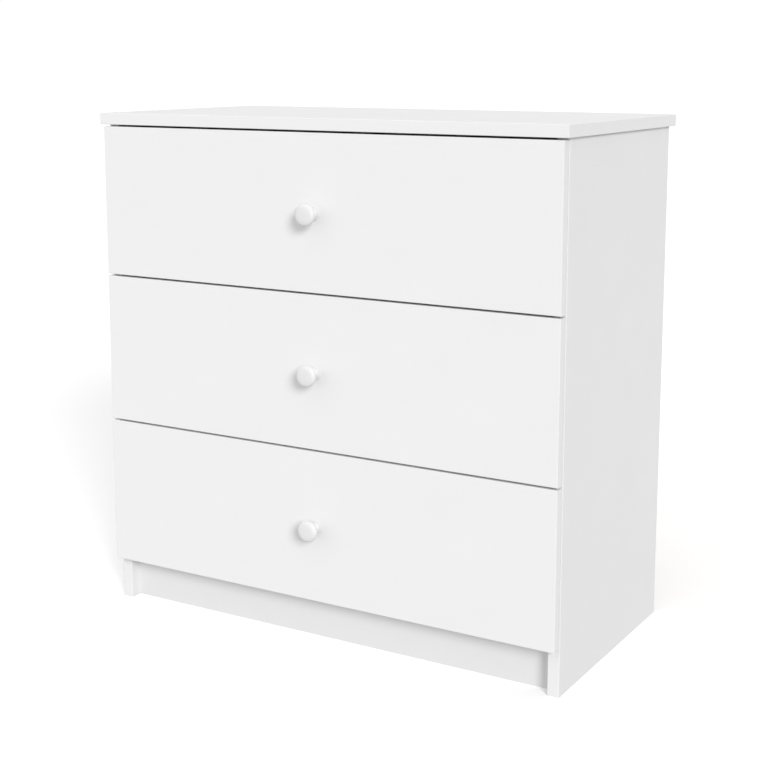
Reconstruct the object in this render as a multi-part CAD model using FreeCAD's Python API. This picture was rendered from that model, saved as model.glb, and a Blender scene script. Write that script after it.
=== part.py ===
"""White chest of three drawers, made of melamine-faced board, on roller runners.

Millimetres. The front faces -Y and +Z is up. The origin is on the floor, in the
middle of the width and of the whole depth, knobs included.
"""
import FreeCAD, Part
import math
import os

V = FreeCAD.Vector
X_AXIS = V(1, 0, 0)
Y_AXIS = V(0, 1, 0)
Z_AXIS = V(0, 0, 1)

# Overall sizes; the depth follows from the length of the runners
WIDTH = 800.0            # top panel, left to right
HEIGHT = 800.0           # floor to the top surface
SIDE_OVERHANG = 6.0      # top panel past each side panel
REAR_OVERHANG = 12.0     # top panel past the rear edges of the side panels

# Boards
PANEL = 18.0             # carcass boards
FRONT_PANEL = 16.0       # drawer fronts
BOX_PANEL = 16.0         # sides and back of a drawer box
FIBREBOARD = 3.0         # back panel and drawer bottoms
EDGE_RADIUS = 1.0        # rounded edge band on boards that show

# Base and back
PLINTH_HEIGHT = 70.0
PLINTH_SETBACK = 20.0    # plinth behind the front edges of the side panels
BACK_INSET = 2.0         # back panel inside the outline of the carcass

# Drawers, from the floor up
DRAWERS = ("bottom", "middle", "top")
FRONT_GAP = 3.0          # between fronts, and under the top panel
FRONT_REVEAL = 1.0       # side panel edge that shows beside each front
FRONT_AIR = 0.5          # closed front to the carcass
FRONT_LIFT = 1.0         # lowest front above the underside of the bottom panel
BOX_LIFT = 36.0          # drawer box above the lower edge of its front
BOX_DROP = 38.0          # drawer box below the upper edge of its front
BACK_DROP = 10.0         # box back below the box sides
GROOVE_RISE = 12.0       # drawer bottom above the lower edge of the box
GROOVE_DEPTH = 6.0
GROOVE_PLAY = 0.3        # room over and beside the drawer bottom in its grooves

# Knobs, from the drawer front outwards
KNOB_FOOT_DIAMETER = 21.0
KNOB_FOOT = 1.5
KNOB_NECK_DIAMETER = 13.0
KNOB_NECK = 8.5
KNOB_DIAMETER = 32.5
KNOB_UNDERSIDE = 9.0     # flare from the neck to the widest place
KNOB_CROWN = 9.0         # dome over the widest place
KNOB_TIP_DIAMETER = 6.0  # flat in the middle of the dome
KNOB_SIDES = 24          # flat sides that stand for the round ones
KNOB_HEAD_RINGS = 7
KNOB_SCREW_DIAMETER = 4.0
KNOB_SCREW_GRIP = 14.0   # thread inside the knob
KNOB_SCREW_HEAD_DIAMETER = 8.0
KNOB_SCREW_HEAD = 2.6

# Roller runners, folded from steel strip
RAIL_LENGTH = 350.0
RAIL_SETBACK = 2.0       # rail behind the carcass's front edge
RAIL_REAR_SPACE = 25.5   # rail to the rear edge of the side panel
RUNNER_SPACE = 12.5      # drawer box to side panel
STEEL = 1.2
BEND_RADIUS = 1.0        # inside the folds
RUNNER_RISE = 22.0       # top of the drawer runner above the lower edge of the box
RUNNER_FOOT = 13.0       # flange under the box side
RUNNER_TAIL = 6.0        # end of the drawer box behind its roller's axle
TRAVEL_LOSS = 88.0       # drawer travel short of the rail's length
ROLLER_DIAMETER = 17.0
ROLLER_WIDTH = 6.5
ROLLER_INSET = 10.0      # rail's roller behind the front end of the rail
ROLLER_PLAY = 0.5        # roller to the strip beside it
AXLE_DIAMETER = 5.0
AXLE_FIT = 0.06          # radial running fit
RUN_GAP = 0.3            # roller to the steel that it rolls on
LIFT_GAP = 0.8           # drawer runner below the top of the rail
SIDE_GAP = 0.7           # rail flanges to the drawer runner

# Cam fittings, bolts and dowels
CAM_DIAMETER = 15.0
CAM_LENGTH = 12.0
CAM_SLOT = 6.6           # mouth of the cam that takes the bolt
CAM_SETBACK = 34.0       # cam centre from the joint, in the carcass
CAM_END_INSET = 50.0     # first and last cam from the ends of a carcass joint
BOX_CAM_SETBACK = 24.0   # cam centre from the joint, in a drawer box
BOLT_DIAMETER = 6.0
BOLT_BITE = 11.0         # thread in the face of the other board
BOLT_REACH = 2.0         # end of the bolt short of the cam's centre
DOWEL_DIAMETER = 8.0
DOWEL_LENGTH = 34.0
DOWEL_BITE = 12.0        # dowel in the face of a board
DOWEL_END_PLAY = 1.0     # empty end of the hole in the board's edge
FASTENER_PLAY = 0.1      # radial room round screws, cams, bolts and dowels
CAM_SIDES = 8            # what lies inside the boards has few sides
PEG_SIDES = 6
SCREW_HEAD_SIDES = 16

# Places that follow from the sizes
KNOB_PROJECTION = KNOB_FOOT + KNOB_NECK + KNOB_UNDERSIDE + KNOB_CROWN
CARCASS_DEPTH = RAIL_SETBACK + RAIL_LENGTH + RAIL_REAR_SPACE
TOP_DEPTH = FRONT_PANEL + FRONT_AIR + CARCASS_DEPTH + REAR_OVERHANG
FRONT_Y = (KNOB_PROJECTION - TOP_DEPTH) / 2
BOX_Y = FRONT_Y + FRONT_PANEL
CARCASS_Y = BOX_Y + FRONT_AIR
PLINTH_Y = CARCASS_Y + PLINTH_SETBACK
REAR_Y = CARCASS_Y + CARCASS_DEPTH
TOP_REAR_Y = REAR_Y + REAR_OVERHANG
JOINT_MIDDLE_Y = (CARCASS_Y + REAR_Y) / 2
SIDE_X = WIDTH / 2 - SIDE_OVERHANG
INNER_X = SIDE_X - PANEL
BOX_X = INNER_X - RUNNER_SPACE
BOX_INNER_X = BOX_X - BOX_PANEL
TOP_Z = HEIGHT - PANEL
LOWEST_FRONT_Z = PLINTH_HEIGHT + FRONT_LIFT
FRONT_PITCH = (TOP_Z - LOWEST_FRONT_Z) / len(DRAWERS)
FRONT_HEIGHT = FRONT_PITCH - FRONT_GAP
BOX_HEIGHT = FRONT_HEIGHT - BOX_LIFT - BOX_DROP
ROLLER_RADIUS = ROLLER_DIAMETER / 2
ROLLER_RISE = RUNNER_RISE - STEEL - RUN_GAP - ROLLER_RADIUS
RAIL_FLOOR_RISE = ROLLER_RISE - ROLLER_RADIUS - RUN_GAP
RAIL_Y = CARCASS_Y + RAIL_SETBACK
RAIL_REAR_Y = RAIL_Y + RAIL_LENGTH
RAIL_ROLLER_Y = RAIL_Y + ROLLER_INSET
RUNNER_ROLLER_Y = RAIL_REAR_Y - STEEL - RUN_GAP - ROLLER_RADIUS
SLIDE_TRAVEL = RAIL_LENGTH - TRAVEL_LOSS
FRONT_STOP_Y = RUNNER_ROLLER_Y - SLIDE_TRAVEL - ROLLER_RADIUS - RUN_GAP - STEEL
BOX_REAR_Y = RUNNER_ROLLER_Y + RUNNER_TAIL
RAIL_WALL_X = INNER_X - STEEL
RAIL_TIP_X = BOX_X + STEEL + SIDE_GAP
RUNNER_FACE_X = BOX_X + STEEL


def board(x0, x1, y0, y1, z0, z1):
    """A plain board between two corners."""
    return Part.makeBox(x1 - x0, y1 - y0, z1 - z0, V(x0, y0, z0))


def rod(diameter, length, start, direction):
    return Part.makeCylinder(diameter / 2, length, start, direction)


def flat_face(corners):
    return Part.Face(Part.makePolygon([*corners, corners[0]]))


def turned(sides, start, direction, rings):
    """A turned piece with flat sides.

    rings gives the distance along the axis and the diameter of each ring of corners. Flat
    faces join the rings in order and close both ends.
    """
    upright = X_AXIS if abs(direction.z) > 0.5 else Z_AXIS
    across = direction.cross(upright)
    spokes = []
    for step in range(sides):
        angle = 2 * math.pi * step / sides
        spokes.append(upright * math.cos(angle) + across * math.sin(angle))
    loops = []
    for distance, diameter in rings:
        middle = start + direction * distance
        loops.append([middle + spoke * (diameter / 2) for spoke in spokes])
    faces = [flat_face(loops[0]), flat_face(loops[-1])]
    for low, high in zip(loops, loops[1:]):
        for corners in zip(low, low[1:] + low[:1], high[1:] + high[:1], high):
            faces.append(flat_face(corners))
    return Part.Solid(Part.Shell(faces))


def peg(sides, diameter, length, start, direction):
    """A rod with a few flat sides."""
    return turned(sides, start, direction, [(0, diameter), (length, diameter)])


def mirrored(shape):
    """The same piece for the left side of the chest."""
    return shape.mirror(V(0, 0, 0), X_AXIS)


def at(value, *places):
    return any(abs(value - place) < 1e-6 for place in places)


def edges_at(shape, chosen):
    """The edges whose middle point passes the test."""
    return [edge for edge in shape.Edges if chosen(edge.BoundBox.Center)]


def save(name, *solids):
    shape = solids[0] if len(solids) == 1 else Part.makeCompound(solids)
    shape.exportStep(f"parts/{name}.step")


# Fittings that join two boards. Each gives its pieces and the holes for them in both boards.

def cam_joint(joint, inward, mouth, setback, thickness):
    """Cam lock, bolt, holes in the cam's board and hole in the other board.

    joint lies where the two boards meet, in the middle of the drilled edge. inward points
    from it into the cam's board, and mouth points out of the face that the cam lies in.
    """
    rim = joint + inward * setback + mouth * (thickness / 2)
    bore = peg(CAM_SIDES, CAM_DIAMETER, CAM_LENGTH + FASTENER_PLAY, rim, mouth * -1)
    lock = peg(CAM_SIDES, CAM_DIAMETER - 2 * FASTENER_PLAY, CAM_LENGTH, rim, mouth * -1)
    side = inward.cross(mouth) * CAM_SLOT
    rise = mouth * CAM_SLOT
    corner = joint + inward * setback - (side + rise) * 0.5
    slot_end = flat_face([corner, corner + side, corner + side + rise, corner + rise])
    slot = slot_end.extrude(inward * -CAM_DIAMETER)
    bolt_length = BOLT_BITE + setback - BOLT_REACH
    bolt = peg(PEG_SIDES, BOLT_DIAMETER, bolt_length, joint - inward * BOLT_BITE, inward)
    hole = BOLT_DIAMETER + 2 * FASTENER_PLAY
    edge_hole = peg(PEG_SIDES, hole, setback, joint, inward)
    face_hole = peg(PEG_SIDES, hole, BOLT_BITE, joint - inward * BOLT_BITE, inward)
    return lock.cut(slot), bolt, bore.fuse(edge_hole), face_hole


def dowel_joint(joint, inward):
    """Dowel, hole in the edge-drilled board and hole in the face of the other board."""
    start = joint - inward * DOWEL_BITE
    hole = DOWEL_DIAMETER + 2 * FASTENER_PLAY
    dowel = peg(PEG_SIDES, DOWEL_DIAMETER, DOWEL_LENGTH, start, inward)
    edge_hole = peg(PEG_SIDES, hole, DOWEL_LENGTH - DOWEL_BITE + DOWEL_END_PLAY, joint, inward)
    face_hole = peg(PEG_SIDES, hole, DOWEL_BITE, start, inward)
    return dowel, edge_hole, face_hole


# Carcass

def top_panel():
    """Banded on all four edges, so it is rounded all round above and below."""
    shape = board(-WIDTH / 2, WIDTH / 2, FRONT_Y, TOP_REAR_Y, TOP_Z, HEIGHT)
    return shape.makeFillet(EDGE_RADIUS, edges_at(shape, lambda p: at(p.z, TOP_Z, HEIGHT)))


def right_side_panel():
    """Stands on the floor and is banded at the front."""
    shape = board(INNER_X, SIDE_X, CARCASS_Y, REAR_Y, 0, TOP_Z)
    front = edges_at(shape, lambda p: at(p.y, CARCASS_Y) and at(p.x, INNER_X, SIDE_X))
    return shape.makeFillet(EDGE_RADIUS, front)


def bottom_panel():
    return board(-INNER_X, INNER_X, CARCASS_Y, REAR_Y, PLINTH_HEIGHT, PLINTH_HEIGHT + PANEL)


def plinth():
    return board(-INNER_X, INNER_X, PLINTH_Y, PLINTH_Y + PANEL, 0, PLINTH_HEIGHT)


def back_panel():
    """Thin sheet on the rear edges, under the overhang of the top."""
    half = SIDE_X - BACK_INSET
    return board(-half, half, REAR_Y, REAR_Y + FIBREBOARD, PLINTH_HEIGHT + BACK_INSET, TOP_Z)


def carcass():
    """Joins the boards at both ends, drills them and saves them."""
    locks, bolts, dowels = [], [], []
    top_holes, bottom_holes, plinth_holes = [], [], []
    for hand, outward in (("left", X_AXIS * -1), ("right", X_AXIS)):
        side_holes = []
        under_top = outward * (INNER_X + PANEL / 2) + Z_AXIS * TOP_Z
        beside_bottom = outward * INNER_X + Z_AXIS * (PLINTH_HEIGHT + PANEL / 2)
        beside_plinth = outward * INNER_X + V(0, PLINTH_Y + PANEL / 2, PLINTH_HEIGHT / 2)
        for y in (CARCASS_Y + CAM_END_INSET, REAR_Y - CAM_END_INSET):
            lock, bolt, in_side, in_top = cam_joint(
                under_top + Y_AXIS * y, Z_AXIS * -1, outward * -1, CAM_SETBACK, PANEL)
            locks.append(lock)
            bolts.append(bolt)
            side_holes.append(in_side)
            top_holes.append(in_top)
            lock, bolt, in_bottom, in_side = cam_joint(
                beside_bottom + Y_AXIS * y, outward * -1, Z_AXIS * -1, CAM_SETBACK, PANEL)
            locks.append(lock)
            bolts.append(bolt)
            bottom_holes.append(in_bottom)
            side_holes.append(in_side)
        dowel, in_side, in_top = dowel_joint(under_top + Y_AXIS * JOINT_MIDDLE_Y, Z_AXIS * -1)
        dowels.append(dowel)
        side_holes.append(in_side)
        top_holes.append(in_top)
        beside_middle = beside_bottom + Y_AXIS * JOINT_MIDDLE_Y
        for joint, holes in ((beside_middle, bottom_holes), (beside_plinth, plinth_holes)):
            dowel, in_board, in_side = dowel_joint(joint, outward * -1)
            dowels.append(dowel)
            holes.append(in_board)
            side_holes.append(in_side)
        panel = right_side_panel() if hand == "right" else mirrored(right_side_panel())
        save(f"{hand}_side_panel", panel.cut(side_holes))
    save("top_panel", top_panel().cut(top_holes))
    save("bottom_panel", bottom_panel().cut(bottom_holes))
    save("plinth", plinth().cut(plinth_holes))
    save("back_panel", back_panel())
    save("carcass_cam_locks", *locks)
    save("carcass_cam_bolts", *bolts)
    save("carcass_dowels", *dowels)


# Roller runners, drawn for the right side of the chest

def folded_strip(outline, folds, y0, y1):
    """A strip's (x, z) outline drawn out along Y.

    folds gives the inner and the outer corner of each fold. A flat that touches the true
    bend stands for it on both faces.
    """
    shape = flat_face([V(x, y0, z) for x, z in outline]).extrude(Y_AXIS * (y1 - y0))
    for corners in folds:
        for (x, z), radius in zip(corners, (BEND_RADIUS, BEND_RADIUS + STEEL)):
            fold = edges_at(shape, lambda p: at(p.x, x) and at(p.z, z))
            shape = shape.makeChamfer(radius * (2 - math.sqrt(2)), fold)
    return shape


def axle(x, y, z, direction):
    """Stud that carries a roller, as long as the roller and its play."""
    return rod(AXLE_DIAMETER, ROLLER_PLAY + ROLLER_WIDTH, V(x, y, z), direction)


def roller(x, y, z, direction):
    start = V(x, y, z) + direction * ROLLER_PLAY
    bore = rod(AXLE_DIAMETER + 2 * AXLE_FIT, ROLLER_WIDTH, start, direction)
    return rod(ROLLER_DIAMETER, ROLLER_WIDTH, start, direction).cut(bore)


def rail(box_z):
    """Channel on the side panel, with a roller in front and a stop for the drawer's roller at each end."""
    floor = box_z + RAIL_FLOOR_RISE
    ceiling = box_z + RUNNER_RISE + LIFT_GAP
    tab_x = RAIL_WALL_X - BEND_RADIUS
    tab_top = box_z + ROLLER_RISE
    outline = [
        (RAIL_TIP_X, floor - STEEL), (INNER_X, floor - STEEL),
        (INNER_X, ceiling + STEEL), (RAIL_TIP_X, ceiling + STEEL),
        (RAIL_TIP_X, ceiling), (RAIL_WALL_X, ceiling), (RAIL_WALL_X, floor), (RAIL_TIP_X, floor),
    ]
    folds = [
        ((RAIL_WALL_X, floor), (INNER_X, floor - STEEL)),
        ((RAIL_WALL_X, ceiling), (INNER_X, ceiling + STEEL)),
    ]
    channel = folded_strip(outline, folds, RAIL_Y, RAIL_REAR_Y)
    window_y = FRONT_STOP_Y - (tab_top - floor)
    window = board(RAIL_TIP_X, tab_x, window_y, FRONT_STOP_Y, floor - STEEL, floor)
    tabs = [
        board(RAIL_TIP_X, tab_x, y, y + STEEL, floor - STEEL, tab_top)
        for y in (FRONT_STOP_Y, RAIL_REAR_Y - STEEL)
    ]
    stud = axle(RAIL_WALL_X, RAIL_ROLLER_Y, tab_top, X_AXIS * -1)
    return channel.cut(window).fuse([*tabs, stud]).removeSplitter()


def drawer_runner(box_z):
    """Strip folded under and up the box side, then out over the rail's roller."""
    foot_x = RUNNER_FACE_X - RUNNER_FOOT
    tip_x = RAIL_WALL_X - BEND_RADIUS - RUN_GAP
    top = box_z + RUNNER_RISE
    outline = [
        (foot_x, box_z - STEEL), (RUNNER_FACE_X, box_z - STEEL),
        (RUNNER_FACE_X, top - STEEL), (tip_x, top - STEEL), (tip_x, top),
        (BOX_X, top), (BOX_X, box_z), (foot_x, box_z),
    ]
    folds = [
        ((BOX_X, box_z), (RUNNER_FACE_X, box_z - STEEL)),
        ((RUNNER_FACE_X, top - STEEL), (BOX_X, top)),
    ]
    strip = folded_strip(outline, folds, BOX_Y, BOX_REAR_Y)
    stud = axle(RUNNER_FACE_X, RUNNER_ROLLER_Y, box_z + ROLLER_RISE, X_AXIS)
    return strip.fuse(stud).removeSplitter()


# Drawers

def knob(z):
    """Turned knob: foot, tapered neck and a head that is round on both faces."""
    neck_end = KNOB_FOOT + KNOB_NECK
    rim = neck_end + KNOB_UNDERSIDE
    low = math.acos(KNOB_NECK_DIAMETER / KNOB_DIAMETER)
    high = math.acos(KNOB_TIP_DIAMETER / KNOB_DIAMETER)
    rings = [(0, KNOB_FOOT_DIAMETER), (KNOB_FOOT, KNOB_FOOT_DIAMETER)]
    for step in range(KNOB_HEAD_RINGS + 1):
        angle = (low + high) * step / KNOB_HEAD_RINGS - low
        if angle < 0:
            distance = rim + KNOB_UNDERSIDE * math.sin(angle) / math.sin(low)
        else:
            distance = rim + KNOB_CROWN * math.sin(angle) / math.sin(high)
        rings.append((distance, KNOB_DIAMETER * math.cos(angle)))
    head = turned(KNOB_SIDES, V(0, FRONT_Y, z), Y_AXIS * -1, rings)
    return head.cut(knob_screw_shank(z, FASTENER_PLAY))


def knob_screw_shank(z, play):
    """The screw's shank, or with play the hole for it through the front and into the knob."""
    length = FRONT_PANEL + KNOB_SCREW_GRIP
    return peg(PEG_SIDES, KNOB_SCREW_DIAMETER + 2 * play, length, V(0, BOX_Y, z), Y_AXIS * -1)


def knob_screw(z):
    """Machine screw from inside the drawer, through the front into the knob."""
    head = peg(SCREW_HEAD_SIDES, KNOB_SCREW_HEAD_DIAMETER, KNOB_SCREW_HEAD, V(0, BOX_Y, z), Y_AXIS)
    return knob_screw_shank(z, 0).fuse(head)


def drawer_front(z):
    """Banded on all four edges and rounded all round in front."""
    half = SIDE_X - FRONT_REVEAL
    shape = board(-half, half, FRONT_Y, BOX_Y, z, z + FRONT_HEIGHT)
    return shape.makeFillet(EDGE_RADIUS, edges_at(shape, lambda p: at(p.y, FRONT_Y)))


def bottom_sheet(box_z, play):
    """The drawer bottom, or with no play the groove that it slides into from behind."""
    half = BOX_INNER_X + GROOVE_DEPTH - play
    z = box_z + GROOVE_RISE
    thickness = FIBREBOARD + GROOVE_PLAY - play
    return board(-half, half, BOX_Y - GROOVE_DEPTH + play, BOX_REAR_Y, z, z + thickness)


def right_box_side(box_z):
    """Its lower outer edge is eased for the fold of the runner."""
    shape = board(BOX_INNER_X, BOX_X, BOX_Y, BOX_REAR_Y, box_z, box_z + BOX_HEIGHT)
    return shape.makeChamfer(BEND_RADIUS, edges_at(shape, lambda p: at(p.x, BOX_X) and at(p.z, box_z)))


def box_back(box_z):
    low = box_z + GROOVE_RISE + FIBREBOARD
    high = box_z + BOX_HEIGHT - BACK_DROP
    return board(-BOX_INNER_X, BOX_INNER_X, BOX_REAR_Y - BOX_PANEL, BOX_REAR_Y, low, high)


def drawer(name, front_z):
    """Saves one drawer, the rails that it runs on and the rollers of both."""
    box_z = front_z + BOX_LIFT
    roller_z = box_z + ROLLER_RISE
    knob_z = front_z + FRONT_HEIGHT / 2
    groove = bottom_sheet(box_z, 0)
    right_side = right_box_side(box_z).cut(groove)
    right_pieces = {
        "rail": rail(box_z),
        "rail_roller": roller(RAIL_WALL_X, RAIL_ROLLER_Y, roller_z, X_AXIS * -1),
        "runner": drawer_runner(box_z),
        "runner_roller": roller(RUNNER_FACE_X, RUNNER_ROLLER_Y, roller_z, X_AXIS),
    }
    locks, bolts = [], []
    front_holes = [groove, knob_screw_shank(knob_z, FASTENER_PLAY)]
    for hand, outward in (("left", X_AXIS * -1), ("right", X_AXIS)):
        joint = outward * (BOX_X - BOX_PANEL / 2) + V(0, BOX_Y, box_z + BOX_HEIGHT / 2)
        lock, bolt, in_side, in_front = cam_joint(joint, Y_AXIS, outward, BOX_CAM_SETBACK, BOX_PANEL)
        locks.append(lock)
        bolts.append(bolt)
        front_holes.append(in_front)
        box_side = right_side if hand == "right" else mirrored(right_side)
        save(f"{name}_drawer_{hand}_side", box_side.cut(in_side))
        for piece, shape in right_pieces.items():
            save(f"{name}_drawer_{hand}_{piece}", shape if hand == "right" else mirrored(shape))
    save(f"{name}_drawer_front", drawer_front(front_z).cut(front_holes))
    save(f"{name}_drawer_back", box_back(box_z))
    save(f"{name}_drawer_bottom", bottom_sheet(box_z, GROOVE_PLAY))
    save(f"{name}_drawer_knob", knob(knob_z))
    save(f"{name}_drawer_knob_screw", knob_screw(knob_z))
    save(f"{name}_drawer_cam_locks", *locks)
    save(f"{name}_drawer_cam_bolts", *bolts)


os.makedirs("parts", exist_ok=True)
carcass()
for place, drawer_name in enumerate(DRAWERS):
    drawer(drawer_name, LOWEST_FRONT_Z + place * FRONT_PITCH)
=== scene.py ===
import math

import bmesh
import bpy
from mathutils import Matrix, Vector


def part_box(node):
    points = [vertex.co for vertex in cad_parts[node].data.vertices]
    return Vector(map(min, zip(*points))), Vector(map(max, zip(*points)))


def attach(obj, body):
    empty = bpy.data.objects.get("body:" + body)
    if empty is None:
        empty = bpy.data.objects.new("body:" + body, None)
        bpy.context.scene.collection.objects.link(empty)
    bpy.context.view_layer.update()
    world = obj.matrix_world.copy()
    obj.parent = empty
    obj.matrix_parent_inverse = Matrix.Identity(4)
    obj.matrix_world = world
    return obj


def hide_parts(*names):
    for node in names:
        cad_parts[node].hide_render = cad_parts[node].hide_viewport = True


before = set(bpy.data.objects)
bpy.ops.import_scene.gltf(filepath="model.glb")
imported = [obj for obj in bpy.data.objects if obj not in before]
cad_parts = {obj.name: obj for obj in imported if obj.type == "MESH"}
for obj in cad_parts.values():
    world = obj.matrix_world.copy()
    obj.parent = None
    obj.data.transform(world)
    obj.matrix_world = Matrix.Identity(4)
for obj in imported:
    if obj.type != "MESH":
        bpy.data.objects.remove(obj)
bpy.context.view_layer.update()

# Side panels: 18 mm chipboard pressed between sheets of white melamine paper.
# The front edge carries a white ABS band, trimmed to a 1 mm radius; the other edges are sawn and raw.
# They stand on the floor and carry the rails of the runners.
MM = 0.001
HANDS = (("left", -1), ("right", 1))
BAND_RADIUS = 1.0 * MM
BAND_STEPS = 4
MELAMINE_WHITE = "E6E6E6"
MELAMINE_MOTTLE = 70.0 * MM
PEARL_EMBOSS = 2.5 * MM
BAND_WHITE = "E6E6E6"
BAND_STREAK = 0.8 * MM
BAND_STREAK_LENGTH = 400.0 * MM
CHIP_LIGHT = "C9AE86"
CHIP_DARK = "8A6A45"
CHIP_SIZE = 2.2 * MM
NOISE_REACH = {"From Min": 0.3, "From Max": 0.7}


def linear(code):
    """The linear colour of an sRGB hex value."""
    channels = [int(code[i:i + 2], 16) / 255 for i in (0, 2, 4)]
    return (*[c / 12.92 if c <= 0.04045 else ((c + 0.055) / 1.055) ** 2.4 for c in channels], 1.0)


def add_node(tree, kind, inputs=None, **settings):
    """Adds a node with its settings, and sets or links the inputs that are named."""
    node = tree.nodes.new(kind)
    for name, value in settings.items():
        setattr(node, name, value)
    for name, value in (inputs or {}).items():
        if isinstance(value, bpy.types.NodeSocket):
            tree.links.new(value, node.inputs[name])
        else:
            node.inputs[name].default_value = value
    return node


def start_material(name):
    """A new material, its node tree and its shader."""
    material = bpy.data.materials.new(name)
    material.use_nodes = True
    return material, material.node_tree, material.node_tree.nodes["Principled BSDF"]


def vary(tree, shader, colour, tones, roughness, noise, gloss_noise=None):
    """Lets a noise vary a colour's tone and the roughness, each between two values.

    A noise keeps near its middle, so the range that it does reach is drawn out to theirs.
    """
    tone = add_node(tree, "ShaderNodeMapRange", {
        "Value": noise.outputs["Fac"], **NOISE_REACH, "To Min": tones[0], "To Max": tones[1]})
    gloss = add_node(tree, "ShaderNodeMapRange", {
        "Value": (gloss_noise or noise).outputs["Fac"], **NOISE_REACH,
        "To Min": roughness[0], "To Max": roughness[1]})
    toned = add_node(
        tree, "ShaderNodeHueSaturation", {"Color": linear(colour), "Value": tone.outputs["Result"]})
    tree.links.new(toned.outputs["Color"], shader.inputs["Base Color"])
    tree.links.new(gloss.outputs["Result"], shader.inputs["Roughness"])


def pressed_paper(name, colour):
    """Resin-pressed paper is an even, near-neutral white.

    The press plate leaves a fine pearl emboss that softens the gloss. The real pearls are 0.5 mm across;
    they are drawn five times as coarse to show.
    """
    material, tree, shader = start_material(name)
    place = add_node(tree, "ShaderNodeTexCoord").outputs["Object"]
    mottle = add_node(
        tree, "ShaderNodeTexNoise", {"Vector": place, "Scale": 1 / MELAMINE_MOTTLE, "Detail": 3.0})
    pearls = add_node(
        tree, "ShaderNodeTexNoise", {"Vector": place, "Scale": 1 / PEARL_EMBOSS, "Detail": 2.0})
    vary(tree, shader, colour, tones=(0.992, 1.006), roughness=(0.4, 0.5), noise=mottle, gloss_noise=pearls)
    emboss = add_node(
        tree, "ShaderNodeBump", {"Height": pearls.outputs["Fac"], "Strength": 0.12, "Distance": 0.15 * MM})
    tree.links.new(emboss.outputs["Normal"], shader.inputs["Normal"])
    shader.inputs["IOR"].default_value = 1.52
    return material


melamine = pressed_paper("white_melamine_paper_pressed", MELAMINE_WHITE)

# Extruded ABS is a little smoother than the paper, with faint drawn lines along the band.
band, tree, shader = start_material("white_abs_band_extruded")
along = add_node(tree, "ShaderNodeUVMap", uv_map="board").outputs["UV"]
stretch = (1 / BAND_STREAK_LENGTH, 1 / BAND_STREAK, 1.0)
drawn = add_node(tree, "ShaderNodeMapping", {"Vector": along, "Scale": stretch})
streaks = add_node(
    tree, "ShaderNodeTexNoise", {"Vector": drawn.outputs["Vector"], "Scale": 1.0, "Detail": 2.0})
vary(tree, shader, BAND_WHITE, tones=(0.99, 1.005), roughness=(0.3, 0.42), noise=streaks)
shader.inputs["IOR"].default_value = 1.54

# A sawn edge shows pressed chips of softwood, pale and dark, with torn fibres between them.
chipboard, tree, shader = start_material("raw_chipboard_sawn")
place = add_node(tree, "ShaderNodeTexCoord").outputs["Object"]
chips = add_node(tree, "ShaderNodeTexVoronoi", {"Vector": place, "Scale": 1 / CHIP_SIZE, "Randomness": 1.0})
shades = add_node(tree, "ShaderNodeValToRGB", {"Fac": chips.outputs["Color"]})
shades.color_ramp.elements[0].color = linear(CHIP_DARK)
shades.color_ramp.elements[1].color = linear(CHIP_LIGHT)
torn = add_node(
    tree, "ShaderNodeBump", {"Height": chips.outputs["Distance"], "Strength": 0.6, "Distance": 0.3 * MM})
tree.links.new(shades.outputs["Color"], shader.inputs["Base Color"])
tree.links.new(torn.outputs["Normal"], shader.inputs["Normal"])
shader.inputs["Roughness"].default_value = 0.85


def add_piece(name, mesh, body, slot, *nodes):
    """Puts a finished mesh into the scene, on its body, in place of the CAD nodes that it stands for."""
    piece = bpy.data.objects.new(name, mesh)
    bpy.context.scene.collection.objects.link(piece)
    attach(piece, body)
    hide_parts(*nodes)


def finish_mesh(bm, name, *materials):
    """The mesh of a bmesh shape, with its materials in the order of their indices."""
    mesh = bpy.data.meshes.new(name)
    bm.to_mesh(mesh)
    bm.free()
    for material in materials:
        mesh.materials.append(material)
    return mesh


def direction(normal):
    """The axis that a face looks along, as a signed letter."""
    axis = max(range(3), key=lambda i: abs(normal[i]))
    return ("+" if normal[axis] > 0 else "-") + "xyz"[axis]


def block(low, high):
    """A box mesh between two corners."""
    bm = bmesh.new()
    bmesh.ops.create_cube(bm, size=1.0)
    for vertex in bm.verts:
        vertex.co = Vector([a + (c + 0.5) * (b - a) for a, b, c in zip(low, high, vertex.co)])
    bm.normal_update()
    return bm


def board_mesh(node, name, faces, banded=""):
    """A board in the place of a CAD node.

    faces gives the materials of the broad faces, of the banded edges and of the raw edges. banded lists the
    directions of the edges with a band. Each band is rounded where it meets the broad faces, and its UV map
    runs along it.
    """
    low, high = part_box(node)
    size = high - low
    bm = block(low, high)
    broad = "xyz"[min(range(3), key=lambda i: size[i])]
    for face in bm.faces:
        looks = direction(face.normal)
        face.material_index = 0 if looks[1] == broad else (1 if looks in banded.split() else 2)
    seams = [e for e in bm.edges if {f.material_index for f in e.link_faces} == {0, 1}]
    if seams:
        bmesh.ops.bevel(
            bm, geom=seams, offset=BAND_RADIUS, segments=BAND_STEPS, profile=0.5, affect="EDGES",
            material=1)
    bm.normal_update()
    layer = bm.loops.layers.uv.new("board")
    for face in bm.faces:
        looks = "xyz".index(direction(face.normal)[1])
        across, run = sorted([i for i in range(3) if i != looks], key=lambda i: size[i])
        for loop in face.loops:
            loop[layer].uv = (loop.vert.co[run], loop.vert.co[across])
    return finish_mesh(bm, name, *faces)


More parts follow.
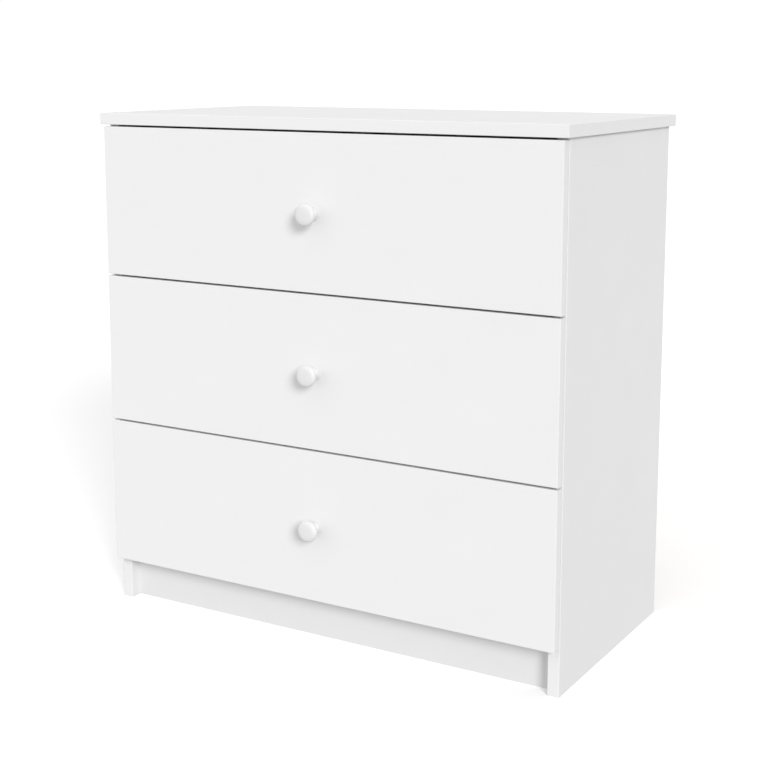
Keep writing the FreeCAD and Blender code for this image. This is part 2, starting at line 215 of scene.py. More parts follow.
def cut_out(mesh, cutter):
    """The mesh with a bmesh shape cut out of it."""
    body = bpy.data.objects.new("cut_body", mesh)
    tool = bpy.data.objects.new("cut_tool", finish_mesh(cutter, "cut_tool"))
    for item in (body, tool):
        bpy.context.scene.collection.objects.link(item)
    cut = body.modifiers.new("cut", "BOOLEAN")
    cut.object = tool
    cut.solver = "EXACT"
    bpy.context.view_layer.update()
    result = bpy.data.meshes.new_from_object(body.evaluated_get(bpy.context.evaluated_depsgraph_get()))
    result.name = mesh.name
    for item in (body, tool):
        bpy.data.objects.remove(item)
    return result


def rod(start, end, diameter, sides=40):
    """A closed round rod from one point to another."""
    bm = bmesh.new()
    axis = Vector(end) - Vector(start)
    turn = axis.to_track_quat("Z", "Y").to_matrix().to_4x4()
    turn.translation = (Vector(start) + Vector(end)) / 2
    bmesh.ops.create_cone(
        bm, cap_ends=True, segments=sides, radius1=diameter / 2, radius2=diameter / 2,
        depth=axis.length, matrix=turn)
    return bm


BOARD = (melamine, band, chipboard)
CAM_BORE = 15.0 * MM
CAM_BORE_DEPTH = 12.5 * MM
CAM_FACE = 14.6 * MM
cam_low, cam_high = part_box("carcass_cam_locks")
cam_ys = (cam_low.y + CAM_FACE / 2, cam_high.y - CAM_FACE / 2)
upper_cam_z = cam_high.z - CAM_FACE / 2
inner_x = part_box("right_side_panel")[0].x

for hand, side in HANDS:
    node = f"{hand}_side_panel"
    mesh = board_mesh(node, f"{node}_board", BOARD, "-y")
    for y in cam_ys:
        mouth = Vector((side * inner_x, y, upper_cam_z))
        deep = Vector((side * CAM_BORE_DEPTH, 0, 0))
        mesh = cut_out(mesh, rod(mouth - deep, mouth + deep, CAM_BORE))
    add_piece(f"{node}_board", mesh, "carcass", "melamine_board", node)

# Bottom panel and plinth: the same faced chipboard, between the side panels. The plinth's paper is a shade
# greyer: painted shade that stands for the shade of its recess under the drawer fronts.
# The bottom panel is banded in front and drawn to the sides by cams let into its underside; the plinth
# stands under it on the floor, 20 mm back, with raw edges.
LOWER_CAM_SETBACK = 34.0 * MM
# Painted shade: the plinth's white is greyer than the other boards' to stand for the shade in its recess.
PLINTH_PAINTED_SHADE_WHITE = "E0E0E0"
under_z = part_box("bottom_panel")[0].z
lower_cam_x = inner_x - LOWER_CAM_SETBACK
mesh = board_mesh("bottom_panel", "bottom_panel_board", BOARD, "-y")
for side in (-1, 1):
    for y in cam_ys:
        mouth = Vector((side * lower_cam_x, y, under_z))
        deep = Vector((0, 0, CAM_BORE_DEPTH))
        mesh = cut_out(mesh, rod(mouth - deep, mouth + deep, CAM_BORE))
add_piece("bottom_panel_board", mesh, "carcass", "melamine_board", "bottom_panel")

# The plinth's greyer paper is painted shade; it is the same paper as the other boards.
plinth_paper_painted_shade = pressed_paper("white_melamine_paper_painted_shade", PLINTH_PAINTED_SHADE_WHITE)
mesh = board_mesh("plinth", "plinth_board", (plinth_paper_painted_shade, band, chipboard))
add_piece("plinth_board", mesh, "carcass", "melamine_board", "plinth")

# Top panel: one faced board that overhangs both sides and the back, flush with the drawer fronts.
# All four edges are banded and rounded above and below. It sits on dowels and is drawn down by cams.
mesh = board_mesh("top_panel", "top_panel_board", BOARD, "+x -x +y -y")
add_piece("top_panel_board", mesh, "carcass", "melamine_board", "top_panel")

# Dowels and bolts: fluted beech dowels and zinc-plated steel bolts, pressed into the boards.
# Nothing of them shows once the chest is put together.
BEECH_PALE = "D2AE82"
BEECH_FLECK = "A97F52"
FLECK_LENGTH = 6.0 * MM
PLATED_STEEL = "C2C3C2"
PLATING_CLOUD = 4.0 * MM

# Turned beech is pale and plain, with short dark flecks along the grain.
beech, tree, shader = start_material("beech_turned")
place = add_node(tree, "ShaderNodeTexCoord").outputs["Object"]
flecks = add_node(tree, "ShaderNodeTexNoise", {"Vector": place, "Scale": 1 / FLECK_LENGTH, "Detail": 6.0})
shades = add_node(tree, "ShaderNodeValToRGB", {"Fac": flecks.outputs["Fac"]})
shades.color_ramp.elements[0].color = linear(BEECH_FLECK)
shades.color_ramp.elements[1].color = linear(BEECH_PALE)
tree.links.new(shades.outputs["Color"], shader.inputs["Base Color"])
shader.inputs["Roughness"].default_value = 0.7

# Zinc plating on steel is bright and cool, clouded where the bath left it thicker.
plated, tree, shader = start_material("zinc_plated_steel")
place = add_node(tree, "ShaderNodeTexCoord").outputs["Object"]
clouds = add_node(tree, "ShaderNodeTexNoise", {"Vector": place, "Scale": 1 / PLATING_CLOUD, "Detail": 4.0})
vary(tree, shader, PLATED_STEEL, tones=(0.9, 1.05), roughness=(0.25, 0.4), noise=clouds)
shader.inputs["Metallic"].default_value = 1.0


def finish_node(node, material):
    """Gives a CAD node that keeps its shape its finish."""
    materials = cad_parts[node].data.materials
    materials.clear()
    materials.append(material)


finish_node("carcass_dowels", beech)
finish_node("carcass_cam_bolts", plated)

# Cam locks: round zinc castings with a cross slot, flush in bores in the faces of the boards.
# Half a turn of a screwdriver draws the bolt in the next board tight.
CAST_ZINC = "A3A6A9"
CASTING_GRAIN = 0.9 * MM
CAM_SINK = 0.3 * MM
HEAD_SIDES = 28

# Die-cast zinc is a dull grey, faintly grainy where the die was worn.
cast_zinc, tree, shader = start_material("zinc_die_cast")
place = add_node(tree, "ShaderNodeTexCoord").outputs["Object"]
grain = add_node(tree, "ShaderNodeTexNoise", {"Vector": place, "Scale": 1 / CASTING_GRAIN, "Detail": 3.0})
vary(tree, shader, CAST_ZINC, tones=(0.88, 1.06), roughness=(0.42, 0.6), noise=grain)
pits = add_node(
    tree, "ShaderNodeBump", {"Height": grain.outputs["Fac"], "Strength": 0.25, "Distance": 0.1 * MM})
tree.links.new(pits.outputs["Normal"], shader.inputs["Normal"])
shader.inputs["Metallic"].default_value = 1.0

# One tree sets a row of heads: a tapered head with a cross slot on a plain shank, at each point of a mesh,
# facing along the point's own direction and turned about it at random.
heads = bpy.data.node_groups.new("driven_heads", "GeometryNodeTree")
heads.interface.new_socket("Places", in_out="INPUT", socket_type="NodeSocketGeometry")
HEAD_SIZES = ("Head Diameter", "Head Height", "Face Diameter", "Slot Length", "Slot Width", "Slot Depth",
              "Shank Diameter", "Shank Length")
for label in HEAD_SIZES:
    heads.interface.new_socket(label, in_out="INPUT", socket_type="NodeSocketFloat")
heads.interface.new_socket("Slotted", in_out="INPUT", socket_type="NodeSocketBool")
heads.interface.new_socket("Seed", in_out="INPUT", socket_type="NodeSocketInt")
heads.interface.new_socket("Metal", in_out="INPUT", socket_type="NodeSocketMaterial")
heads.interface.new_socket("Heads", in_out="OUTPUT", socket_type="NodeSocketGeometry")
asked = add_node(heads, "NodeGroupInput").outputs

radii = {}
for label in ("Head Diameter", "Face Diameter", "Shank Diameter"):
    halved = add_node(heads, "ShaderNodeMath", {0: asked[label], 1: 0.5}, operation="MULTIPLY")
    radii[label] = halved.outputs[0]
head = add_node(heads, "GeometryNodeMeshCone", {
    "Vertices": HEAD_SIDES, "Radius Bottom": radii["Head Diameter"],
    "Radius Top": radii["Face Diameter"], "Depth": asked["Head Height"]})
slot_z = add_node(heads, "ShaderNodeCombineXYZ", {"Z": asked["Head Height"]}).outputs["Vector"]
twice = add_node(heads, "ShaderNodeMath", {0: asked["Slot Depth"], 1: 2.0}, operation="MULTIPLY")
bars = add_node(heads, "GeometryNodeJoinGeometry")
for x, y in (("Slot Length", "Slot Width"), ("Slot Width", "Slot Length")):
    bar_size = add_node(
        heads, "ShaderNodeCombineXYZ", {"X": asked[x], "Y": asked[y], "Z": twice.outputs[0]})
    bar = add_node(heads, "GeometryNodeMeshCube", {"Size": bar_size.outputs["Vector"]})
    raised = add_node(
        heads, "GeometryNodeTransform", {"Geometry": bar.outputs["Mesh"], "Translation": slot_z})
    heads.links.new(raised.outputs["Geometry"], bars.inputs["Geometry"])
slotted = add_node(heads, "GeometryNodeMeshBoolean", operation="DIFFERENCE", solver="EXACT")
heads.links.new(head.outputs["Mesh"], slotted.inputs["Mesh 1"])
heads.links.new(bars.outputs["Geometry"], slotted.inputs["Mesh 2"])
face = add_node(heads, "GeometryNodeSwitch", {
    "Switch": asked["Slotted"], "False": head.outputs["Mesh"], "True": slotted.outputs["Mesh"]},
    input_type="GEOMETRY")
shank = add_node(heads, "GeometryNodeMeshCylinder", {
    "Vertices": HEAD_SIDES, "Radius": radii["Shank Diameter"], "Depth": asked["Shank Length"]})
below = add_node(heads, "ShaderNodeMath", {0: asked["Shank Length"], 1: -0.5}, operation="MULTIPLY")
shank_z = add_node(heads, "ShaderNodeCombineXYZ", {"Z": below.outputs[0]}).outputs["Vector"]
sunk = add_node(heads, "GeometryNodeTransform", {"Geometry": shank.outputs["Mesh"], "Translation": shank_z})
whole = add_node(heads, "GeometryNodeJoinGeometry", {"Geometry": face.outputs["Output"]})
heads.links.new(sunk.outputs["Geometry"], whole.inputs["Geometry"])
outward = add_node(heads, "GeometryNodeInputNamedAttribute", {"Name": "outward"}, data_type="FLOAT_VECTOR")
facing = add_node(
    heads, "FunctionNodeAlignRotationToVector", {"Vector": outward.outputs["Attribute"]}, axis="Z")
chance = add_node(heads, "FunctionNodeRandomValue", {"Seed": asked["Seed"]}, data_type="FLOAT")
turn = add_node(heads, "ShaderNodeMath", {0: chance.outputs[1], 1: math.pi}, operation="MULTIPLY")
about = add_node(
    heads, "FunctionNodeAxisAngleToRotation", {"Axis": (0.0, 0.0, 1.0), "Angle": turn.outputs[0]})
turned = add_node(heads, "FunctionNodeRotateRotation", {
    "Rotation": facing.outputs["Rotation"], "Rotate By": about.outputs["Rotation"]}, rotation_space="LOCAL")
placed = add_node(heads, "GeometryNodeInstanceOnPoints", {
    "Points": asked["Places"], "Instance": whole.outputs["Geometry"],
    "Rotation": turned.outputs["Rotation"]})
solid = add_node(heads, "GeometryNodeRealizeInstances", {"Geometry": placed.outputs["Instances"]})
metal = add_node(
    heads, "GeometryNodeSetMaterial", {"Geometry": solid.outputs["Geometry"], "Material": asked["Metal"]})
add_node(heads, "NodeGroupOutput", {"Heads": metal.outputs["Geometry"]})


def heads_mesh(name, places, metal, seed, **sizes):
    """The mesh of all the heads at places, which are pairs of a point and the way that the head faces.

    Sizes that give no slot make plain heads.
    """
    points = bpy.data.meshes.new(name)
    points.from_pydata([point for point, _ in places], [], [])
    ways = points.attributes.new("outward", "FLOAT_VECTOR", "POINT")
    for entry, (_, way) in zip(ways.data, places):
        entry.vector = way
    holder = bpy.data.objects.new(name, points)
    bpy.context.scene.collection.objects.link(holder)
    setter = holder.modifiers.new("heads", "NODES")
    setter.node_group = heads
    values = {label: sizes.get(label.lower().replace(" ", "_"), 0.0) for label in HEAD_SIZES}
    values.update({"Slotted": "slot_length" in sizes, "Seed": seed, "Metal": metal})
    for item in heads.interface.items_tree:
        if item.name in values:
            setter[item.identifier] = values[item.name]
    bpy.context.view_layer.update()
    mesh = bpy.data.meshes.new_from_object(holder.evaluated_get(bpy.context.evaluated_depsgraph_get()))
    mesh.name = name
    bpy.data.objects.remove(holder)
    return mesh


CAM_SIZES = {
    "head_diameter": CAM_FACE, "head_height": 0.6 * MM, "face_diameter": CAM_FACE - 1.0 * MM,
    "slot_length": 9.0 * MM, "slot_width": 1.8 * MM, "slot_depth": 0.5 * MM,
    "shank_diameter": CAM_FACE - 0.4 * MM, "shank_length": 11.0 * MM}
cam_rest = CAM_SINK + CAM_SIZES["head_height"]
places = []
for side in (-1, 1):
    for y in cam_ys:
        places.append(((side * (inner_x + cam_rest), y, upper_cam_z), (-side, 0, 0)))
        places.append(((side * lower_cam_x, y, under_z + cam_rest), (0, 0, -1)))
mesh = heads_mesh("carcass_cam_lock_castings", places, cast_zinc, seed=3, **CAM_SIZES)
add_piece("carcass_cam_lock_castings", mesh, "carcass", "zinc_fittings", "carcass_cam_locks")

# Back panel: a 3 mm sheet of hard fibreboard, nailed to the rear edges of the boards.
# Its inner face is lacquered white and its rear face is left brown and bare.
# The nails are small and plated, one row up each side panel and one along the bottom panel.
BARE_LIGHT = "A98660"
BARE_DARK = "987550"
FIBRE_CLOUD = 16.0 * MM
FIBRE_SPECK = 1.6 * MM
LACQUER_WHITE = "E9E9E7"
LACQUER_ROLL = 5.0 * MM
NAIL_SPACING = 95.0 * MM
NAIL_END = 30.0 * MM

# Pressed fibre is a clouded mid brown with darker specks of bark, smooth but without gloss.
bare_fibre, tree, shader = start_material("hard_fibreboard_bare")
place = add_node(tree, "ShaderNodeTexCoord").outputs["Object"]
clouds = add_node(tree, "ShaderNodeTexNoise", {
    "Vector": place, "Scale": 1 / FIBRE_CLOUD, "Detail": 8.0, "Roughness": 0.65})
shades = add_node(tree, "ShaderNodeValToRGB", {"Fac": clouds.outputs["Fac"]})
shades.color_ramp.elements[0].color = linear(BARE_DARK)
shades.color_ramp.elements[0].position = NOISE_REACH["From Min"]
shades.color_ramp.elements[1].color = linear(BARE_LIGHT)
shades.color_ramp.elements[1].position = NOISE_REACH["From Max"]
specks = add_node(tree, "ShaderNodeTexNoise", {"Vector": place, "Scale": 1 / FIBRE_SPECK, "Detail": 2.0})
tone = add_node(tree, "ShaderNodeMapRange", {
    "Value": specks.outputs["Fac"], **NOISE_REACH, "To Min": 0.9, "To Max": 1.08})
brown = add_node(tree, "ShaderNodeHueSaturation", {
    "Color": shades.outputs["Color"], "Value": tone.outputs["Result"]})
tree.links.new(brown.outputs["Color"], shader.inputs["Base Color"])
felt = add_node(
    tree, "ShaderNodeBump", {"Height": specks.outputs["Fac"], "Strength": 0.15, "Distance": 0.1 * MM})
tree.links.new(felt.outputs["Normal"], shader.inputs["Normal"])
shader.inputs["Roughness"].default_value = 0.6

# Rolled lacquer covers the fibre with a thin even white that keeps a trace of the roller.
lacquer, tree, shader = start_material("white_lacquer_rolled")
place = add_node(tree, "ShaderNodeTexCoord").outputs["Object"]
roll = add_node(tree, "ShaderNodeTexNoise", {"Vector": place, "Scale": 1 / LACQUER_ROLL, "Detail": 3.0})
vary(tree, shader, LACQUER_WHITE, tones=(0.985, 1.005), roughness=(0.32, 0.45), noise=roll)


def sheet_mesh(node, name, front, rear):
    """A fibreboard sheet with its own finish on one broad face."""
    bm = block(*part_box(node))
    for face in bm.faces:
        face.material_index = 0 if direction(face.normal) == front else 1
    return finish_mesh(bm, name, lacquer, rear)


mesh = sheet_mesh("back_panel", "back_panel_sheet", "-y", bare_fibre)
add_piece("back_panel_sheet", mesh, "carcass", "fibreboard", "back_panel")

NAIL_SIZES = {
    "head_diameter": 4.0 * MM, "head_height": 0.5 * MM, "face_diameter": 3.4 * MM,
    "shank_diameter": 1.4 * MM, "shank_length": 20.0 * MM}


def evenly(low, high, spacing):
    """Places from low to high, about that far apart."""
    steps = max(1, round((high - low) / spacing))
    return [low + (high - low) * step / steps for step in range(steps + 1)]


sheet_low, sheet_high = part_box("back_panel")
side_low, side_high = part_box("right_side_panel")
nail_x = (side_low.x + side_high.x) / 2
nail_z = sum(corner.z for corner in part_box("bottom_panel")) / 2
nail_zs = evenly(sheet_low.z + NAIL_END, sheet_high.z - NAIL_END, NAIL_SPACING)
nails = [(x, z) for x in (-nail_x, nail_x) for z in nail_zs]
nails += [(x, nail_z) for x in evenly(-nail_x + 2 * NAIL_END, nail_x - 2 * NAIL_END, NAIL_SPACING)]
places = [((x, sheet_high.y, z), (0, 1, 0)) for x, z in nails]
mesh = heads_mesh("back_panel_nails", places, plated, seed=5, **NAIL_SIZES)
add_piece("back_panel_nails", mesh, "carcass", "steel_fittings")

# Rails: channels folded from 1.2 mm steel strip and powder-coated white, screwed to the side panels.
# The drawer's roller runs inside; the rail's own roller, riveted on at the front, carries the drawer.
STEEL = 1.2 * MM
COAT_WHITE = "E4E4E1"
ORANGE_PEEL = 1.8 * MM
NYLON_WHITE = "E3E1D8"
NYLON_CLOUD = 3.0 * MM
RAIL_SCREW_YS = (37.0 * MM, 165.0 * MM, 293.0 * MM)

# Powder coat melts to a glossy film with a slight orange peel.
powder_coat, tree, shader = start_material("white_powder_coat_on_steel")
place = add_node(tree, "ShaderNodeTexCoord").outputs["Object"]
peel = add_node(tree, "ShaderNodeTexNoise", {"Vector": place, "Scale": 1 / ORANGE_PEEL, "Detail": 1.0})
vary(tree, shader, COAT_WHITE, tones=(0.985, 1.01), roughness=(0.28, 0.36), noise=peel)
film = add_node(
    tree, "ShaderNodeBump", {"Height": peel.outputs["Fac"], "Strength": 0.2, "Distance": 0.1 * MM})
tree.links.new(film.outputs["Normal"], shader.inputs["Normal"])

# Moulded nylon is milky and a little waxy, and light goes some way into it.
nylon, tree, shader = start_material("natural_nylon_moulded")
place = add_node(tree, "ShaderNodeTexCoord").outputs["Object"]
clouds = add_node(tree, "ShaderNodeTexNoise", {"Vector": place, "Scale": 1 / NYLON_CLOUD, "Detail": 2.0})
vary(tree, shader, NYLON_WHITE, tones=(0.97, 1.01), roughness=(0.35, 0.45), noise=clouds)
shader.inputs["Subsurface Weight"].default_value = 0.25
shader.inputs["Subsurface Radius"].default_value = (2.0 * MM, 1.8 * MM, 1.5 * MM)
shader.inputs["Subsurface Scale"].default_value = 1.0


def lathe_mesh(name, profile, centre, axis, steps, material):
    """A turned piece: (distance along the axis, radius) pairs spun about the axis through centre."""
    bm = bmesh.new()
    along = Vector(axis)
    across = Vector((0, 0, 1))
    third = along.cross(across)
    rings = []
    for distance, radius in profile:
        middle = Vector(centre) + along * distance
        angles = [2 * math.pi * step / steps for step in range(steps)]
        spokes = [across * math.cos(angle) + third * math.sin(angle) for angle in angles]
        rings.append([bm.verts.new(middle + spoke * radius) for spoke in spokes])
    for low, high in zip(rings, rings[1:]):
        for i, j in zip(range(steps), [*range(1, steps), 0]):
            bm.faces.new((low[i], low[j], high[j], high[i]))
    bm.faces.new(rings[0][::-1])
    bm.faces.new(rings[-1])
    bmesh.ops.recalc_face_normals(bm, faces=bm.faces)
    for face in bm.faces:
        face.smooth = len(face.verts) == 4
    return finish_mesh(bm, name, material)


ROLLER_RIM = 0.6 * MM
ROLLER_DISH = 0.8 * MM
ROLLER_DISH_WALL = 2.2 * MM
ROLLER_STEPS = 48
AXLE_DIAMETER = 5.0 * MM
RIVET_SIZES = {
    "head_diameter": 8.0 * MM, "head_height": 0.9 * MM, "face_diameter": 5.0 * MM,
    "shank_diameter": AXLE_DIAMETER, "shank_length": 7.0 * MM}
SCREW_SIZES = {
    "head_diameter": 7.0 * MM, "head_height": 1.8 * MM, "face_diameter": 4.6 * MM,
    "slot_length": 3.6 * MM, "slot_width": 0.9 * MM, "slot_depth": 1.0 * MM,
    "shank_diameter": 3.2 * MM, "shank_length": 12.0 * MM}


def roller_piece(node):
    """A moulded roller in the place of a CAD node, dished on both faces round its bore."""
    low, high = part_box(node)
    radius = (high.z - low.z) / 2
    width = high.x - low.x
    dish = radius - ROLLER_DISH_WALL
    profile = [
        (ROLLER_DISH, AXLE_DIAMETER / 2), (ROLLER_DISH, dish), (0, dish + ROLLER_DISH / 2),
        (0, radius - ROLLER_RIM), (ROLLER_RIM, radius), (width - ROLLER_RIM, radius),
        (width, radius - ROLLER_RIM), (width, dish + ROLLER_DISH / 2), (width - ROLLER_DISH, dish),
        (width - ROLLER_DISH, AXLE_DIAMETER / 2)]
    centre = (low.x, (low.y + high.y) / 2, (low.z + high.z) / 2)
    mesh = lathe_mesh(f"{node}_moulding", profile, centre, (1, 0, 0), ROLLER_STEPS, nylon)
    add_piece(f"{node}_moulding", mesh, node, "roller_nylon", node)
    return Vector(centre) + Vector((width / 2, 0, 0)), width


DRAWERS = ("bottom", "middle", "top")
rail_screws = []
rail_rivets = []
for drawer in DRAWERS:
    for hand, side in HANDS:
        node = f"{drawer}_drawer_{hand}_rail"
        low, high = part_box(node)
        finish_node(node, powder_coat)
        web = (high.x if side > 0 else low.x) - side * STEEL
        middle_z = (low.z + high.z) / 2
        rail_screws += [((web, low.y + y, middle_z), (-side, 0, 0)) for y in RAIL_SCREW_YS]
        centre, width = roller_piece(f"{node}_roller")
        rail_rivets.append((centre - Vector((side * width / 2, 0, 0)), (-side, 0, 0)))
mesh = heads_mesh("rail_screws", rail_screws, plated, seed=11, **SCREW_SIZES)
add_piece("rail_screws", mesh, "carcass", "steel_fittings")
mesh = heads_mesh("rail_rivets", rail_rivets, plated, seed=13, **RIVET_SIZES)
add_piece("rail_rivets", mesh, "carcass", "steel_fittings")

# Drawer boxes: two sides and a lower back of 16 mm faced chipboard, banded along the top edges.
# A lacquered fibreboard bottom slides into grooves in the sides and the front. Cams draw the sides to the
# front, and screws through the sides hold the back.
GROOVE_PLAY = 0.3 * MM
BACK_SCREW_RISE = (30.0 * MM, 105.0 * MM)
BACK_SCREW_SIZES = {
    "head_diameter": 8.0 * MM, "head_height": 0.4 * MM, "face_diameter": 7.6 * MM,
    "slot_length": 4.4 * MM, "slot_width": 1.0 * MM, "slot_depth": 0.3 * MM,
    "shank_diameter": 4.0 * MM, "shank_length": 40.0 * MM}
groove_play = Vector((GROOVE_PLAY, GROOVE_PLAY, GROOVE_PLAY))
for seed, drawer in enumerate(DRAWERS):
    body = f"{drawer}_drawer"
    bottom_low, bottom_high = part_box(f"{body}_bottom")
    back_low, back_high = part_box(f"{body}_back")
    lock_low, lock_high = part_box(f"{body}_cam_locks")
    lock_y = (lock_low.y + lock_high.y) / 2
    lock_z = (lock_low.z + lock_high.z) / 2
    locks = []
    back_screws = []
    for hand, side in HANDS:
        node = f"{body}_{hand}_side"
        low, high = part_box(node)
        outer_x = high.x if side > 0 else low.x
        mesh = board_mesh(node, f"{node}_board", BOARD, "+z")
        mesh = cut_out(mesh, block(bottom_low - groove_play, bottom_high + groove_play * 2))
        mouth = Vector((outer_x, lock_y, lock_z))
        deep = Vector((CAM_BORE_DEPTH, 0, 0))
        mesh = cut_out(mesh, rod(mouth - deep, mouth + deep, CAM_BORE))
        add_piece(f"{node}_board", mesh, body, "melamine_board", node)
        locks.append(((outer_x - side * cam_rest, lock_y, lock_z), (side, 0, 0)))
        back_y = (back_low.y + back_high.y) / 2
        back_screws += [((outer_x, back_y, back_low.z + rise), (side, 0, 0)) for rise in BACK_SCREW_RISE]
    mesh = board_mesh(f"{body}_back", f"{body}_back_board", BOARD, "+z")
    add_piece(f"{body}_back_board", mesh, body, "melamine_board", f"{body}_back")
    mesh = sheet_mesh(f"{body}_bottom", f"{body}_bottom_sheet", "+z", bare_fibre)
    add_piece(f"{body}_bottom_sheet", mesh, body, "fibreboard", f"{body}_bottom")
    mesh = heads_mesh(f"{body}_cam_lock_castings", locks, cast_zinc, seed=20 + seed, **CAM_SIZES)
    add_piece(f"{body}_cam_lock_castings", mesh, body, "zinc_fittings", f"{body}_cam_locks")
    mesh = heads_mesh(f"{body}_back_screws", back_screws, plated, seed=30 + seed, **BACK_SCREW_SIZES)
    add_piece(f"{body}_back_screws", mesh, body, "steel_fittings")
    finish_node(f"{body}_cam_bolts", plated)

# Drawer runners: strips folded under and up each box side, then out over the rail's roller.
# They are the same coated steel as the rails, screwed to the box, with a nylon roller riveted on behind.
RUNNER_SCREW_YS = (40.0 * MM, 168.0 * MM, 296.0 * MM)
RUNNER_SCREW_RISE = 10.0 * MM
for seed, drawer in enumerate(DRAWERS):
    body = f"{drawer}_drawer"
    screws = []
    rivets = []
    for hand, side in HANDS:
        node = f"{body}_{hand}_runner"
        low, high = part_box(node)
        finish_node(node, powder_coat)
        box_low, box_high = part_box(f"{body}_{hand}_side")
        web = (box_high.x if side > 0 else box_low.x) + side * STEEL
        screws += [((web, low.y + y, low.z + RUNNER_SCREW_RISE), (side, 0, 0)) for y in RUNNER_SCREW_YS]
        centre, width = roller_piece(f"{node}_roller")
        rivets.append((centre + Vector((side * width / 2, 0, 0)), (side, 0, 0)))
    mesh = heads_mesh(f"{body}_runner_screws", screws, plated, seed=40 + seed, **SCREW_SIZES)
    add_piece(f"{body}_runner_screws", mesh, body, "steel_fittings")
    mesh = heads_mesh(f"{body}_runner_rivets", rivets, plated, seed=50 + seed, **RIVET_SIZES)
    add_piece(f"{body}_runner_rivets", mesh, body, "steel_fittings")

# Drawer fronts: 16 mm faced chipboard, banded and rounded on all four edges.
# They cover the carcass and leave 3 mm gaps. A groove behind takes the edge of the drawer's bottom.
for drawer in DRAWERS:
    body = f"{drawer}_drawer"
    bottom_low, bottom_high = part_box(f"{body}_bottom")
    mesh = board_mesh(f"{body}_front", f"{body}_front_board", BOARD, "+x -x +z -z")
    mesh = cut_out(mesh, block(bottom_low - groove_play, bottom_high + groove_play))
    add_piece(f"{body}_front_board", mesh, body, "melamine_board", f"{body}_front")

# Knobs: moulded plastic, one in the middle of each front, with a foot, a waisted neck and a round head
# whose face is nearly flat. A pan-head screw from inside the drawer holds each one.
KNOB_WHITE = "DDDDDD"
KNOB_FLOW = 9.0 * MM
KNOB_FOOT = 1.5 * MM
KNOB_FOOT_ROUND = 0.5 * MM
KNOB_FOOT_RADIUS = 10.5 * MM
KNOB_NECK_RADIUS = 5.5 * MM
KNOB_COVE = 2.5 * MM
KNOB_NECK_END = 13.5 * MM
KNOB_RIM = 22.0 * MM
KNOB_HEAD_RADIUS = 16.2 * MM
KNOB_FULLNESS = 0.58
KNOB_STEPS = 96
COVE_STEPS = 10
HEAD_STEPS = 28
KNOB_SCREW_SIZES = {
    "head_diameter": 8.0 * MM, "head_height": 2.6 * MM, "face_diameter": 5.0 * MM,
    "slot_length": 4.4 * MM, "slot_width": 1.0 * MM, "slot_depth": 1.4 * MM,
    "shank_diameter": 4.0 * MM, "shank_length": 30.0 * MM}

# Moulded ABS is a clean satin white; the melt leaves only the faintest flow in its gloss.
moulded, tree, shader = start_material("white_abs_moulded_satin")
place = add_node(tree, "ShaderNodeTexCoord").outputs["Object"]
flow = add_node(tree, "ShaderNodeTexNoise", {"Vector": place, "Scale": 1 / KNOB_FLOW, "Detail": 2.0})
vary(tree, shader, KNOB_WHITE, tones=(0.99, 1.005), roughness=(0.44, 0.54), noise=flow)
shader.inputs["IOR"].default_value = 1.54

for seed, drawer in enumerate(DRAWERS):
    body = f"{drawer}_drawer"
    low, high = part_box(f"{body}_knob")
    projection = high.y - low.y
    profile = [
        (0, KNOB_FOOT_RADIUS - KNOB_FOOT_ROUND), (KNOB_FOOT_ROUND, KNOB_FOOT_RADIUS),
        (KNOB_FOOT - KNOB_FOOT_ROUND, KNOB_FOOT_RADIUS), (KNOB_FOOT, KNOB_FOOT_RADIUS - KNOB_FOOT_ROUND)]
    for step in range(1, COVE_STEPS + 1):
        angle = math.pi / 2 * step / COVE_STEPS
        reach = KNOB_FOOT_RADIUS - KNOB_FOOT_ROUND - KNOB_NECK_RADIUS
        distance = KNOB_FOOT + KNOB_COVE * (1 - math.cos(angle))
        profile.append((distance, KNOB_NECK_RADIUS + reach * (1 - math.sin(angle))))
    # The head's underside is part of an ellipse, and its face a fuller and flatter curve.
    first = -math.acos(KNOB_NECK_RADIUS / KNOB_HEAD_RADIUS)
    last = math.pi / 2 * (1 - 1 / HEAD_STEPS)
    for step in range(HEAD_STEPS + 1):
        angle = first + (last - first) * step / HEAD_STEPS
        radius = KNOB_HEAD_RADIUS * math.cos(angle)
        distance = KNOB_RIM - (KNOB_RIM - KNOB_NECK_END) * math.sin(angle) / math.sin(first)
        if angle > 0:
            radius = KNOB_HEAD_RADIUS * math.cos(angle) ** KNOB_FULLNESS
            rise = (math.sin(angle) / math.sin(last)) ** KNOB_FULLNESS
            distance = KNOB_RIM + (projection - KNOB_RIM) * rise
        profile.append((distance, radius))
    centre = ((low.x + high.x) / 2, high.y, (low.z + high.z) / 2)
    mesh = lathe_mesh(f"{body}_knob_moulding", profile, centre, (0, -1, 0), KNOB_STEPS, moulded)
    add_piece(f"{body}_knob_moulding", mesh, body, "knob_plastic", f"{body}_knob")
    seat = (centre[0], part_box(f"{body}_front")[1].y, centre[2])
    mesh = heads_mesh(
        f"{body}_knob_pan_screw", [(seat, (0, 1, 0))], plated, seed=60 + seed, **KNOB_SCREW_SIZES)
    add_piece(f"{body}_knob_pan_screw", mesh, body, "steel_fittings", f"{body}_knob_screw")

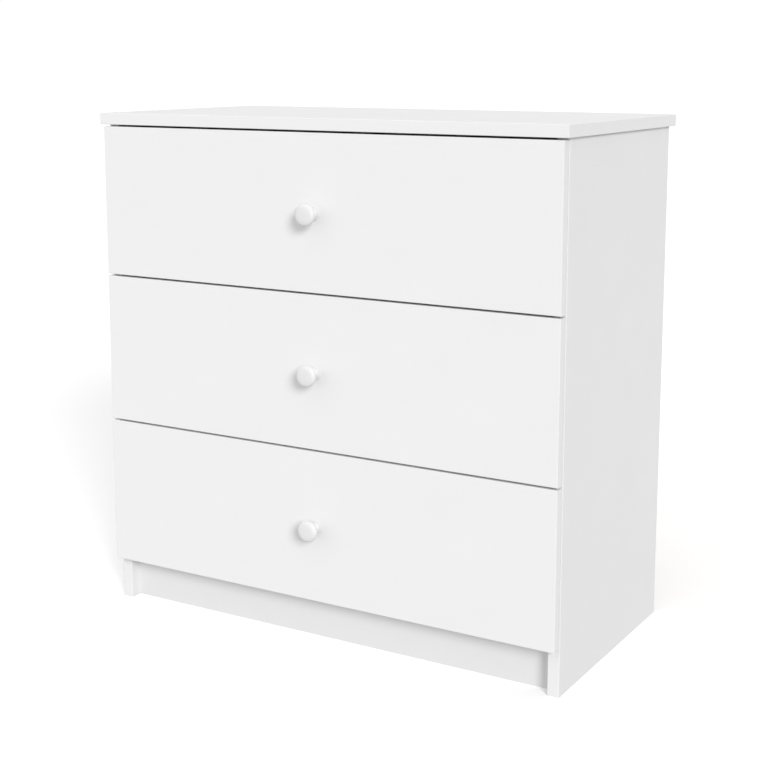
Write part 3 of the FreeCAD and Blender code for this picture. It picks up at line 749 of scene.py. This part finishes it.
# Studio: a white floor under a soft white sky, so no edge shows at the horizon. The sky is brighter in
# front, dimmer above and at the right, and what lights the chest from below is dimmer still, as over a grey
# floor. One key light at the front right gives the shadows.
FLOOR_WHITE = "FFFFFF"
FLOOR_ROUGHNESS = 0.9
FLOOR_SIZE = 60.0
FLOOR_GLOW = 0.08
FLOOR_LIGHT = 0.42
FLOOR_LIGHT_RANGE = (-0.12, -0.04)
SKY_WHITE = "FFFFFF"
SKY_STRENGTH = 1.03
SKY_CHANGES = {
    "X": {"From Min": 0.27, "From Max": 0.9, "To Min": 1.0, "To Max": 0.28},
    "Y": {"From Min": -0.8, "From Max": -0.3, "To Min": 1.10, "To Max": 1.0},
    "Z": {"From Min": 0.0, "From Max": 1.0, "To Min": 1.0, "To Max": 0.76}}
KEY_FROM = (0.69, -0.63, 0.39)
KEY_STRENGTH = 2.15
KEY_SPREAD = math.radians(20.0)

floor_white, tree, shader = start_material("studio_floor_white")
shader.inputs["Base Color"].default_value = linear(FLOOR_WHITE)
shader.inputs["Roughness"].default_value = FLOOR_ROUGHNESS
shader.inputs["Specular IOR Level"].default_value = 0.0
shader.inputs["Emission Color"].default_value = linear(FLOOR_WHITE)
shader.inputs["Emission Strength"].default_value = FLOOR_GLOW
bm = bmesh.new()
bmesh.ops.create_grid(bm, x_segments=1, y_segments=1, size=FLOOR_SIZE / 2)
floor = bpy.data.objects.new("studio_floor", finish_mesh(bm, "studio_floor", floor_white))
bpy.context.scene.collection.objects.link(floor)
floor.visible_diffuse = False

sky = bpy.data.worlds.new("studio_light")
sky.use_nodes = True
tree = sky.node_tree
way = add_node(tree, "ShaderNodeTexCoord").outputs["Generated"]
sides = add_node(tree, "ShaderNodeSeparateXYZ", {"Vector": way})
light = SKY_STRENGTH
for axis, change in SKY_CHANGES.items():
    share = add_node(tree, "ShaderNodeMapRange", {"Value": sides.outputs[axis], **change}).outputs["Result"]
    light = add_node(tree, "ShaderNodeMath", {0: share, 1: light}, operation="MULTIPLY").outputs[0]
light = add_node(tree, "ShaderNodeMapRange", {
    "Value": sides.outputs["Z"], "From Min": FLOOR_LIGHT_RANGE[0], "From Max": FLOOR_LIGHT_RANGE[1],
    "To Min": FLOOR_LIGHT, "To Max": light}).outputs["Result"]
tree.links.new(light, tree.nodes["Background"].inputs["Strength"])
tree.nodes["Background"].inputs["Color"].default_value = linear(SKY_WHITE)
bpy.context.scene.world = sky

key_data = bpy.data.lights.new("key_light", "SUN")
key_data.energy = KEY_STRENGTH
key_data.angle = KEY_SPREAD
key = bpy.data.objects.new("key_light", key_data)
key.rotation_euler = Vector(KEY_FROM).to_track_quat("Z", "Y").to_euler()
bpy.context.scene.collection.objects.link(key)
bpy.context.scene.view_settings.view_transform = "Standard"

# Camera: at the photograph's viewing angle, 30 degrees to the right of the fronts and just above the top.
# A small downward shift places the chest in the frame as the photograph has it.
CAMERA_PLACE = (1.170, -1.966, 0.886)
CAMERA_TURN = math.radians(30.592)
CAMERA_TILT = math.radians(9.511)
CAMERA_LENS = 68.84
CAMERA_SENSOR = 36.0
CAMERA_SHIFT = -0.105
camera_data = bpy.data.cameras.new("camera")
camera_data.lens = CAMERA_LENS
camera_data.sensor_width = CAMERA_SENSOR
camera_data.shift_y = CAMERA_SHIFT
camera = bpy.data.objects.new("camera", camera_data)
camera.location = CAMERA_PLACE
camera.rotation_euler = (math.pi / 2 - CAMERA_TILT, 0.0, CAMERA_TURN)
bpy.context.scene.collection.objects.link(camera)
bpy.context.scene.camera = camera
